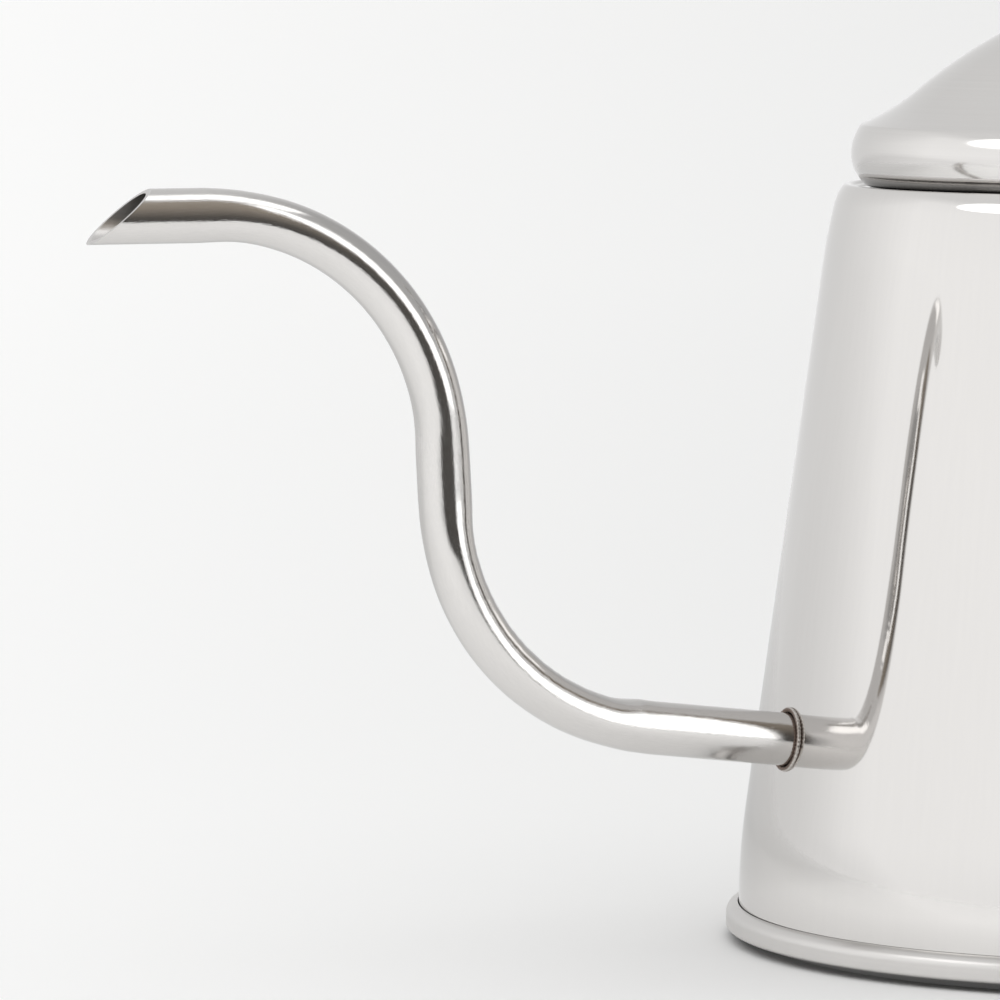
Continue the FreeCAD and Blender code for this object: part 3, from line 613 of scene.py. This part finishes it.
def steel(name, colour, roughness, spread, place_of, grain_scale, bump, contrast=0.965,
          painted_shade=None, dulled=None):
    """Bare steel with a grain in its tint, polish and surface, darkened by painted shade or dulled where a
    function says so.
    """
    material = bpy.data.materials.new(name)
    nodes = Nodes(material)
    place = place_of(nodes)
    grain = nodes.noise(place, grain_scale)
    cloud = nodes.noise(nodes.add("ShaderNodeTexCoord").outputs["Object"], CLOUD_SCALE, CLOUD_DETAIL)
    streaks = nodes.math("MULTIPLY", grain, STREAK_SHARE)
    mottle = nodes.math("ADD", streaks, nodes.math("MULTIPLY", cloud, CLOUD_SHARE))
    tint = nodes.ramp(mottle, [(TINT_SPAN[0], shade(colour, contrast)), (TINT_SPAN[1], colour)])
    # Painted shade multiplies into the tint here
    if painted_shade:
        tint = nodes.vector("MULTIPLY", tint, painted_shade(nodes))
    polish = nodes.between(grain, *POLISH_SPAN, roughness - spread, roughness + spread)
    if dulled:
        polish = nodes.math("ADD", polish, dulled(nodes))
    shader = nodes.add("ShaderNodeBsdfPrincipled")
    nodes.feed(shader.inputs["Metallic"], 1.0)
    nodes.feed(shader.inputs["Base Color"], tint)
    nodes.feed(shader.inputs["Roughness"], polish)
    nodes.feed(shader.inputs["Specular Tint"], EDGE_TINT)
    relief = nodes.add("ShaderNodeBump")
    nodes.feed(relief.inputs["Strength"], bump)
    nodes.feed(relief.inputs["Distance"], GRAIN_DEPTH)
    nodes.feed(relief.inputs["Height"], grain)
    nodes.feed(shader.inputs["Normal"], relief.outputs["Normal"])
    out = nodes.add("ShaderNodeOutputMaterial")
    nodes.feed(out.inputs["Surface"], shader.outputs["BSDF"])
    return material


def upright_grain(nodes):
    """Place for streaks that run up a turned wall."""
    place = nodes.add("ShaderNodeTexCoord").outputs["Object"]
    flat = nodes.vector("MULTIPLY", place, (1.0, 1.0, 0.0))
    ring = nodes.vector("NORMALIZE", flat)
    rise = nodes.vector("MULTIPLY", place, UPRIGHT_RISE)
    return nodes.vector("ADD", ring, rise)


def ring_grain(nodes):
    """Place for fine rings around a turned piece."""
    split = nodes.add("ShaderNodeSeparateXYZ")
    nodes.feed(split.inputs[0], nodes.add("ShaderNodeTexCoord").outputs["Object"])
    x, y, z = (split.outputs[name] for name in "XYZ")
    reach = nodes.math("SQRT", nodes.math("ADD", nodes.math("MULTIPLY", x, x), nodes.math("MULTIPLY", y, y)))
    join = nodes.add("ShaderNodeCombineXYZ")
    nodes.feed(join.inputs["X"], nodes.math("MULTIPLY", reach, RING_FINENESS))
    nodes.feed(join.inputs["Y"], nodes.math("MULTIPLY", z, RING_FINENESS))
    return join.outputs["Vector"]


def tube_grain(nodes):
    """Place for streaks that run along the spout."""
    mark = nodes.add("ShaderNodeAttribute", attribute_name="grain").outputs["Vector"]
    return nodes.vector("MULTIPLY", mark, TUBE_STRETCH)


def even_grain(nodes):
    """Place for a grain without direction."""
    return nodes.vector("MULTIPLY", nodes.add("ShaderNodeTexCoord").outputs["Object"], EVEN_STRETCH)


def strap_grain(nodes):
    """Place for streaks that run up and down the handle."""
    return nodes.vector("MULTIPLY", nodes.add("ShaderNodeTexCoord").outputs["Object"], STRAP_STRETCH)


def greys(tones):
    """Stops of a ramp from pairs of place and level."""
    return [(place, grey(level)) for place, level in tones]


def height_shade(nodes, low, high, tones):
    """Painted shade that changes from one height to another, in metres."""
    split = nodes.add("ShaderNodeSeparateXYZ")
    nodes.feed(split.inputs[0], nodes.add("ShaderNodeTexCoord").outputs["Object"])
    return nodes.ramp(nodes.between(split.outputs["Z"], low, high, 0.0, 1.0), greys(tones))


def painted_hem_shade(nodes):
    """Painted shade on the lid's flank, which faces the seat, black at its hem."""
    return height_shade(nodes, HEM_HEIGHT * MM, (HEM_HEIGHT + HEM_DEPTH) * MM, PAINTED_HEM_SHADE)


def painted_foot_shade(nodes):
    """Painted shade on the foot under the rim of the base, darker towards the floor."""
    return height_shade(nodes, *FOOT_FADE, PAINTED_FOOT_SHADE)


def bore_dulling(nodes):
    """Extra roughness inside the spout, where no polish reaches."""
    inside = nodes.add("ShaderNodeAttribute", attribute_name="inside").outputs["Fac"]
    return nodes.math("MULTIPLY", inside, BORE_DULLNESS)


def weld_steel():
    """Rough weld, brown in the crevice beside the tube and the wall from heat tint and painted shade."""
    material = bpy.data.materials.new("weld_steel")
    nodes = Nodes(material)
    crevice = nodes.add("ShaderNodeAttribute", attribute_name="crevice").outputs["Fac"]
    grain = nodes.noise(nodes.add("ShaderNodeTexCoord").outputs["Object"], WELD_SCALE)
    beads = nodes.ramp(grain, [(POLISH_SPAN[0], WELD_DARK), (POLISH_SPAN[1], WELD_LIGHT)])
    # Heat tint and painted shade darken the crevice beside the tube and the wall
    tint = nodes.mix(crevice, beads, WELD_CREVICE_TINT_AND_SHADE)
    shader = nodes.add("ShaderNodeBsdfPrincipled")
    nodes.feed(shader.inputs["Metallic"], 1.0)
    nodes.feed(shader.inputs["Base Color"], tint)
    nodes.feed(shader.inputs["Roughness"], nodes.between(grain, *POLISH_SPAN, *WELD_ROUGHNESS))
    out = nodes.add("ShaderNodeOutputMaterial")
    nodes.feed(out.inputs["Surface"], shader.outputs["BSDF"])
    return material


def add_camera():
    """Camera at the photograph's place."""
    data = bpy.data.cameras.new("camera")
    data.lens = CAMERA_LENS
    data.sensor_width = SENSOR_WIDTH
    data.clip_end = CAMERA_SIGHT
    camera = bpy.data.objects.new("camera", data)
    camera.location = CAMERA_PLACE
    camera.rotation_euler = (math.radians(90.0 - CAMERA_DROP), 0.0, math.radians(CAMERA_TURN))
    scene.collection.objects.link(camera)
    scene.camera = camera


# Room: tones that mirrors show from level to straight up or down, its even light, and how the camera sees it
ROOM_TONES = ((0.0, 1.12), (0.16, 1.19), (0.3, 1.17), (0.54, 1.12), (0.66, 0.90), (1.0, 0.89))
EVEN_LIGHT = 0.06
BACKDROP = 0.88
# Shades of the room: (azimuth, elevation, reach where it is full, reach where it ends, level)
STUDIO_SHADES = (
    (88.0, 0.0, 14.0, 62.0, 0.94),
    (88.0, 50.0, 22.0, 46.0, 0.88),
    (5.0, 18.0, 30.0, 60.0, 0.52),
    (-108.0, 8.0, 12.0, 34.0, 0.30),
)
# Dusk low in the room behind the spout, in the same terms, as a share of what is there
LOW_SHADE = (138.0, -60.0, 61.0, 66.0, 0.89)


def toward(nodes, place, azimuth, elevation, full, end, far_value, near_value):
    """One value around a direction and another away from it, easing between two reaches in degrees."""
    near = nodes.vector("DOT_PRODUCT", place, direction(azimuth, elevation))
    outer, inner = math.cos(math.radians(end)), math.cos(math.radians(full))
    return nodes.between(near, outer, inner, far_value, near_value)


def add_world():
    """Pale room that mirrors show, with broad shades around it, and a weak even light besides the sun."""
    world = bpy.data.worlds.new("studio")
    scene.world = world
    nodes = Nodes(world)
    place = nodes.add("ShaderNodeTexCoord").outputs["Generated"]
    split = nodes.add("ShaderNodeSeparateXYZ")
    nodes.feed(split.inputs[0], place)
    height = nodes.math("ABSOLUTE", split.outputs["Z"])
    room = nodes.ramp(height, greys(ROOM_TONES))
    for *shape, level in STUDIO_SHADES:
        room = nodes.mix(toward(nodes, place, *shape, 0.0, 1.0), room, grey(level))
    *shape, level = LOW_SHADE
    room = nodes.vector("MULTIPLY", room, toward(nodes, place, *shape, 1.0, level))
    path = nodes.add("ShaderNodeLightPath")
    back = nodes.add("ShaderNodeBackground")
    lit = nodes.mix(path.outputs["Is Glossy Ray"], grey(EVEN_LIGHT), room)
    nodes.feed(back.inputs["Color"], nodes.mix(path.outputs["Is Camera Ray"], lit, grey(BACKDROP)))
    out = nodes.add("ShaderNodeOutputWorld")
    nodes.feed(out.inputs["Surface"], back.outputs[0])


def seen_directly(nodes):
    """One where a ray comes from the camera, a mirror or glass, and zero where it only lights a surface."""
    path = nodes.add("ShaderNodeLightPath")
    mirrored = nodes.math("MAXIMUM", path.outputs["Is Camera Ray"], path.outputs["Is Glossy Ray"])
    return nodes.math("MAXIMUM", mirrored, path.outputs["Is Transmission Ray"])


# Corners of a card from the lower left around, as shares of its half sides
CARD_CORNERS = ((-1, -1), (1, -1), (1, 1), (-1, 1))


def card(name, corners):
    """A flat stage piece on four corners."""
    mesh = bpy.data.meshes.new(name)
    mesh.from_pydata(corners, [], [(0, 1, 2, 3)])
    mesh.uv_layers.new(name="flat").data.foreach_set("uv", [0, 0, 1, 0, 1, 1, 0, 1])
    piece = bpy.data.objects.new(name, mesh)
    scene.collection.objects.link(piece)
    return piece


# White paper: its half width in metres, its colour and how much paler it looks far away
PAPER_REACH = 20.0
PAPER = (0.86, 0.86, 0.855, 1.0)
PAPER_FAR = (0.25, 2.0)
PAPER_FAR_GLOW = 0.03
# Painted window light on the paper: where it fans out from, which way, the nearest that counts, its slopes,
# its glow
WINDOW_PLACE = (-0.486, -1.0, 0.0)
WINDOW_TURN = 69.3
WINDOW_NEAR = 0.4
WINDOW_SLOPES = (-0.07, 0.07)
PAINTED_WINDOW_GLOW = 0.105
# Paper in mirrors: the way behind the kettle, its painted light in front, its painted shade behind, where
# the room takes over
BEHIND_TURN = 75.0
LIFT_SPAN = (-0.14, 0.10)
PAINTED_LIFT = 0.24
DUSK_SPAN = (0.06, 0.20)
PAINTED_DUSK = 0.19
MIRROR_FADE = (0.25, 1.2)


def add_floor():
    """White paper with painted light and shade, which gives way to the room in mirrors, so that no horizon
    shows on the steel.
    """
    floor = card("floor", [(x * PAPER_REACH, y * PAPER_REACH, 0.0) for x, y in CARD_CORNERS])
    material = bpy.data.materials.new("floor_paper")
    nodes = Nodes(material)
    place = nodes.add("ShaderNodeNewGeometry").outputs["Position"]
    far = nodes.add("ShaderNodeVectorMath", operation="LENGTH")
    nodes.feed(far.inputs[0], place)
    diffuse = nodes.add("ShaderNodeBsdfDiffuse")
    mirrored = nodes.add("ShaderNodeLightPath").outputs["Is Glossy Ray"]
    behind = nodes.vector("DOT_PRODUCT", place, direction(BEHIND_TURN, 0.0))
    # Painted shade: the paper is darker behind the kettle where mirrors see it
    painted_dusk = nodes.math("MULTIPLY", mirrored, nodes.between(behind, *DUSK_SPAN, 0.0, PAINTED_DUSK))
    nodes.feed(diffuse.inputs["Color"], nodes.mix(painted_dusk, PAPER, grey(0.0)))
    glow = nodes.add("ShaderNodeEmission")
    level = nodes.between(far.outputs["Value"], *PAPER_FAR, 0.0, PAPER_FAR_GLOW)
    ray = nodes.vector("SUBTRACT", place, WINDOW_PLACE)
    ahead = nodes.vector("DOT_PRODUCT", ray, direction(WINDOW_TURN, 0.0))
    along = nodes.math("MAXIMUM", ahead, WINDOW_NEAR)
    across = nodes.vector("DOT_PRODUCT", ray, direction(WINDOW_TURN - 90.0, 0.0))
    # Painted light: the paper glows brighter towards the left of the view
    painted_fan = nodes.between(nodes.math("DIVIDE", across, along), *WINDOW_SLOPES, PAINTED_WINDOW_GLOW, 0.0)
    # Painted light: the paper is brighter in front of the kettle where mirrors see it
    painted_lift = nodes.between(behind, *LIFT_SPAN, PAINTED_LIFT, 0.0)
    glowing = nodes.math("ADD", nodes.math("ADD", level, painted_fan), nodes.math("MULTIPLY", mirrored, painted_lift))
    nodes.feed(glow.inputs["Strength"], nodes.math("MULTIPLY", seen_directly(nodes), glowing))
    paper = nodes.add("ShaderNodeAddShader")
    nodes.feed(paper.inputs[0], diffuse.outputs[0])
    nodes.feed(paper.inputs[1], glow.outputs[0])
    fade = nodes.between(far.outputs["Value"], *MIRROR_FADE, 0.0, 1.0)
    clear = nodes.add("ShaderNodeBsdfTransparent")
    blend = nodes.add("ShaderNodeMixShader")
    nodes.feed(blend.inputs["Fac"], nodes.math("MULTIPLY", mirrored, fade))
    nodes.feed(blend.inputs[1], paper.outputs[0])
    nodes.feed(blend.inputs[2], clear.outputs[0])
    out = nodes.add("ShaderNodeOutputMaterial")
    nodes.feed(out.inputs["Surface"], blend.outputs[0])
    floor.data.materials.append(material)


def add_card(name, corners, tones, level, soften, round_edge=False):
    """A soft-edged card that only mirrors show, with its tones as (height, colour) from its foot up."""
    piece = card(name, corners)
    material = bpy.data.materials.new(name)
    nodes = Nodes(material)
    split = nodes.add("ShaderNodeSeparateXYZ")
    nodes.feed(split.inputs[0], nodes.add("ShaderNodeUVMap").outputs["UV"])
    across, up = split.outputs["X"], split.outputs["Y"]
    if round_edge:
        reach = nodes.add("ShaderNodeVectorMath", operation="DISTANCE")
        nodes.feed(reach.inputs[0], nodes.add("ShaderNodeUVMap").outputs["UV"])
        half = 0.5
        nodes.feed(reach.inputs[1], (half, half, 0.0))
        share = nodes.between(reach.outputs["Value"], half, half - soften[0], 0.0, 1.0)
    else:
        left, right, bottom, top = soften
        share = nodes.math("MULTIPLY", nodes.between(across, 0.0, left, 0.0, 1.0),
                           nodes.between(across, 1.0, 1.0 - right, 0.0, 1.0))
        share = nodes.math("MULTIPLY", share, nodes.between(up, 0.0, bottom, 0.0, 1.0))
        share = nodes.math("MULTIPLY", share, nodes.between(up, 1.0, 1.0 - top, 0.0, 1.0))
    clear = nodes.add("ShaderNodeBsdfTransparent")
    glow = nodes.add("ShaderNodeEmission")
    nodes.feed(glow.inputs["Color"], nodes.ramp(up, tones))
    nodes.feed(glow.inputs["Strength"], level)
    blend = nodes.add("ShaderNodeMixShader")
    nodes.feed(blend.inputs["Fac"], share)
    nodes.feed(blend.inputs[1], clear.outputs[0])
    nodes.feed(blend.inputs[2], glow.outputs[0])
    out = nodes.add("ShaderNodeOutputMaterial")
    nodes.feed(out.inputs["Surface"], blend.outputs[0])
    piece.data.materials.append(material)
    piece.visible_camera = False
    piece.visible_diffuse = False
    piece.visible_shadow = False


def facing_card(centre, target, size):
    """Corners of a card that faces a target, as the target sees them from the lower left around."""
    ahead = (Vector(target) - Vector(centre)).normalized()
    right = Vector((0.0, 0.0, 1.0)).cross(ahead).normalized()
    up = ahead.cross(right)
    half = right * size[0] / 2, up * size[1] / 2
    return [Vector(centre) + half[0] * x + half[1] * y for x, y in CARD_CORNERS]


# Sun: its energy, its width in degrees, the way to it, and how far off its lamp stands
SUN_ENERGY = 2.82
SUN_WIDTH = 110.0
SUN_WAY = direction(-130.0, 86.0)
SUN_STAND = 2.0


def add_sun():
    """Broad light from above, which grounds the kettle and stays out of its mirrors."""
    data = bpy.data.lights.new("sun", "SUN")
    data.energy = SUN_ENERGY
    data.angle = math.radians(SUN_WIDTH)
    lamp = bpy.data.objects.new("sun", data)
    lamp.location = SUN_WAY * SUN_STAND
    lamp.rotation_mode = "QUATERNION"
    lamp.rotation_quaternion = SUN_WAY.to_track_quat("Z", "Y")
    scene.collection.objects.link(lamp)
    lamp.visible_glossy = False


# Cards that only mirrors show, in metres: what they face, their places, sizes, strengths and soft edges
CENTRE = Vector((0.0, 0.0, 0.08))
SOFTBOX_STAND = 1.2
LEFT_PLACE = CENTRE + direction(-174.0, 35.0) * SOFTBOX_STAND
LEFT_SIZE = (0.77, 0.38)
LEFT_LEVEL = 2.2
LEFT_EDGE = (0.03,)
TOP_PLACE = CENTRE + direction(-12.0, 70.0) * SOFTBOX_STAND
TOP_SIZE = (0.60, 0.54)
TOP_LEVEL = 1.9
TOP_EDGES = (0.08, 0.08, 0.08, 0.08)
PANEL_TARGET = Vector((-0.08, 0.0, 0.92))
PANEL_PLACE = PANEL_TARGET + direction(-60.0, 0.0)
PANEL_SIZE = (0.81, 1.78)
PANEL_LEVEL = 2.0
PANEL_EDGES = (0.02, 0.04, 0.01, 0.2)
FRONT_CORNERS = [(-0.25, -0.22, 0.02), (-0.008, -0.22, 0.02), (0.06, -0.22, 0.70), (-0.25, -0.22, 0.70)]
FRONT_LEVEL = 1.0
FRONT_EDGES = (0.12, 0.03, 0.02, 0.25)
WHITE = ((0.0, grey(1.0)), (1.0, grey(1.0)))
DARK = (
    (0.0, (0.09, 0.087, 0.084, 1.0)),
    (0.12, (0.11, 0.101, 0.092, 1.0)),
    (0.36, (0.32, 0.28, 0.235, 1.0)),
    (1.0, (0.50, 0.45, 0.39, 1.0)),
)


def add_cards():
    """Two softboxes and a pale panel, and the dark card in front of the wall."""
    left = facing_card(LEFT_PLACE, CENTRE, LEFT_SIZE)
    add_card("left_softbox", left, WHITE, LEFT_LEVEL, LEFT_EDGE, round_edge=True)
    top = facing_card(TOP_PLACE, CENTRE, TOP_SIZE)
    add_card("top_softbox", top, WHITE, TOP_LEVEL, TOP_EDGES)
    panel = facing_card(PANEL_PLACE, PANEL_TARGET, PANEL_SIZE)
    add_card("right_panel", panel, WHITE, PANEL_LEVEL, PANEL_EDGES)
    add_card("front_card", FRONT_CORNERS, DARK, FRONT_LEVEL, FRONT_EDGES)


# Stage
add_camera()
add_world()
add_floor()
add_sun()
add_cards()

# Finishes of the pieces
SATIN_TONE = shade(STEEL, 0.95)
STRAP_TONE = shade(STEEL, 0.86)
polished = steel("polished_steel", STEEL, roughness=0.045, spread=0.003, place_of=upright_grain,
                 grain_scale=60.0, bump=0.002, contrast=0.985)
# The lid's flank carries painted shade, darkest at its hem
lid_steel = steel("lid_steel", STEEL, roughness=0.10, spread=0.015, place_of=ring_grain,
                  grain_scale=60.0, bump=0.02, painted_shade=painted_hem_shade)
satin = steel("satin_steel", SATIN_TONE, roughness=0.34, spread=0.04, place_of=ring_grain,
              grain_scale=60.0, bump=0.05)
# The foot under the rim carries painted shade, darker towards the floor
base_steel = steel("base_steel", SATIN_TONE, roughness=0.34, spread=0.04, place_of=ring_grain,
                   grain_scale=60.0, bump=0.05, painted_shade=painted_foot_shade)
brushed = steel("brushed_steel", STEEL, roughness=0.095, spread=0.045, place_of=tube_grain,
                grain_scale=34.0, bump=0.12, contrast=0.93, dulled=bore_dulling)
strap = steel("strap_steel", STRAP_TONE, roughness=0.23, spread=0.05, place_of=strap_grain,
              grain_scale=30.0, bump=0.06)
turned = steel("turned_steel", STEEL, roughness=0.09, spread=0.015, place_of=ring_grain,
               grain_scale=60.0, bump=0.02)
plain = steel("plain_steel", SATIN_TONE, roughness=0.2, spread=0.03, place_of=even_grain,
              grain_scale=40.0, bump=0.02)
FINISHES = {
    "handle_outer_shell": strap,
    "handle_inner_shell": strap,
    "handle_upper_pad": strap,
    "handle_lower_pad": strap,
    "knob_ferrule": turned,
    "lid_knob": turned,
    "lid_collar": satin,
}
for name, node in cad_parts.items():
    node.data.materials.clear()
    node.data.materials.append(FINISHES.get(name, plain))

# Pieces that stand for solids
stand_for(body_piece(), "body_shell", "kettle", polished)
stand_for(pan_piece(), "base_pan", "kettle", base_steel)
stand_for(tube_piece(), "spout_tube", "kettle", brushed)
stand_for(bead_piece(), "spout_joint_bead", "kettle", weld_steel())
stand_for(lid_piece(), "lid_cover", "lid", lid_steel)

# Picture and its finish
scene.view_settings.view_transform = "Standard"
